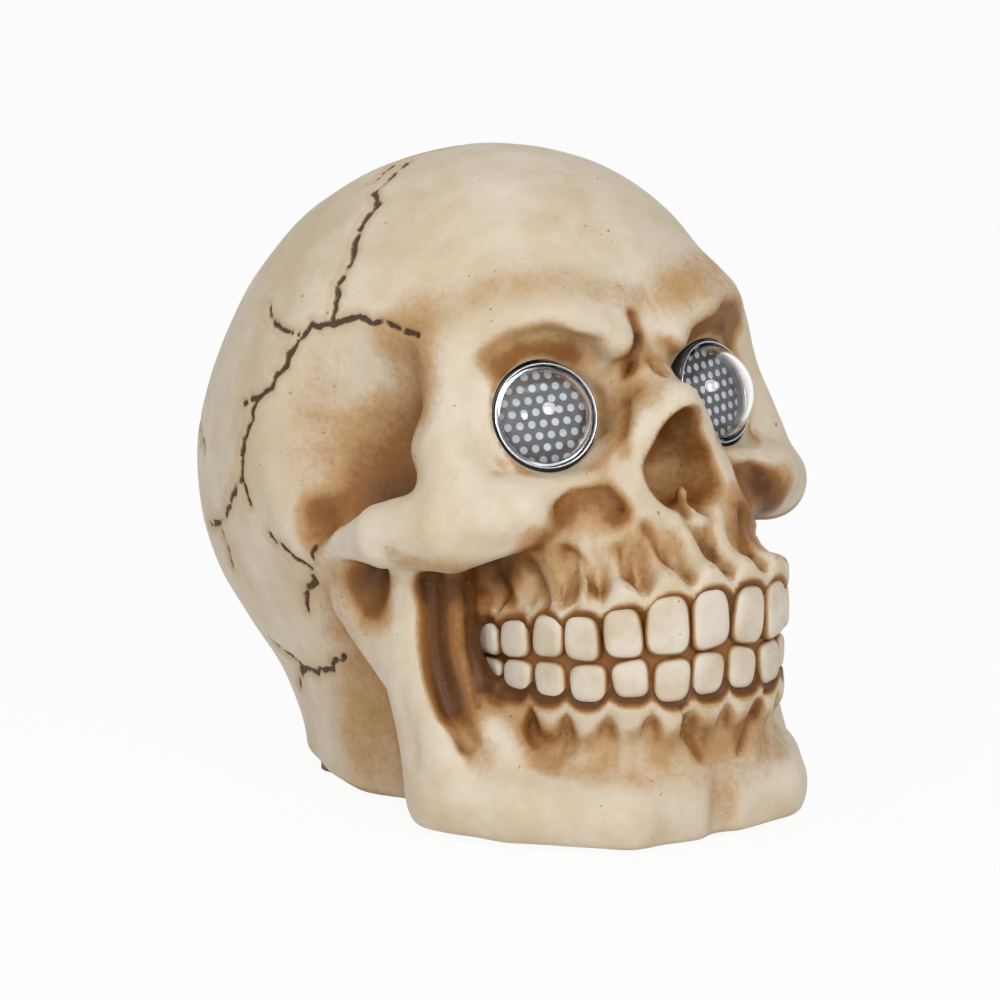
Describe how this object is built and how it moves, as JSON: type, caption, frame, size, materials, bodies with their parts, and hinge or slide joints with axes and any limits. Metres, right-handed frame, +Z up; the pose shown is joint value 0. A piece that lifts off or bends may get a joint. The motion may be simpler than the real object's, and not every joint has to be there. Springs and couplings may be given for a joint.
{
  "type": "light-up skull decoration",
  "caption": "Bone-coloured resin skull that stands on its jaw and neck, with lamp-lit dotted domes for eyes and a battery box with a slide switch in its flat base.",
  "frame": {"origin": "on the surface that the foot pads stand on, below the middle of the bounding box", "axes": "+Z up, face towards -Y, the skull's left side towards +X"},
  "size_m": [0.099, 0.1381, 0.122],
  "materials": {
    "aged_bone_resin": "cast polyester resin, ivory paint with a brown wash left in the hollows, satin",
    "black_plastic": "moulded, satin",
    "bright_trim": "plated",
    "clear_dome": "clear, polished",
    "dotted_disc": "dark grey with rows of pale dots",
    "circuit_board": "green board",
    "lamp": "water-clear epoxy",
    "wire": "insulated lead",
    "steel": "nickel plated",
    "battery_sleeve": "plain printed sleeve",
    "switch_knob": "ribbed, satin",
    "felt": "pressed felt"
  },
  "bodies": {
    "skull": {"skull_casting": "aged_bone_resin", "eye_housing_right": "black_plastic", "eye_housing_left": "black_plastic", "eye_trim_ring_right": "bright_trim", "eye_trim_ring_left": "bright_trim", "eye_lens_right": "clear_dome", "eye_lens_left": "clear_dome", "eye_dot_disc_right": "dotted_disc", "eye_dot_disc_left": "dotted_disc", "eye_led_board_right": "circuit_board", "eye_led_board_left": "circuit_board", "eye_led_right": "lamp", "eye_led_left": "lamp", "eye_lead_right": "wire", "eye_lead_left": "wire", "battery_box": "black_plastic", "box_screw_front": "steel", "box_screw_rear": "steel", "contact_jumper": "steel", "contact_plate_right": "steel", "contact_plate_left": "steel", "contact_spring_right": "steel", "contact_spring_left": "steel", "battery_right": "battery_sleeve", "battery_left": "battery_sleeve", "switch_body": "black_plastic", "foot_pad_front_right": "felt", "foot_pad_front_left": "felt", "foot_pad_rear_right": "felt", "foot_pad_rear_left": "felt"},
    "door": {"battery_door": "black_plastic"},
    "captive_screw": {"door_screw": "steel"},
    "knob": {"switch_knob": "switch_knob"}
  },
  "joints": [
    {"name": "power_switch_slide", "type": "slide", "parent": "skull", "child": "knob", "axis": [1, 0, 0], "range_m": [0, 0.004]},
    {"name": "battery_door_lift", "type": "slide", "parent": "skull", "child": "door", "axis": [0, 0, -1], "range_m": [0, 0.025]},
    {"name": "door_screw_turn", "type": "hinge", "parent": "door", "child": "captive_screw", "pos_m": [0, 0.011, 0.0045], "axis": [0, 0, 1], "continuous": true}
  ]
}
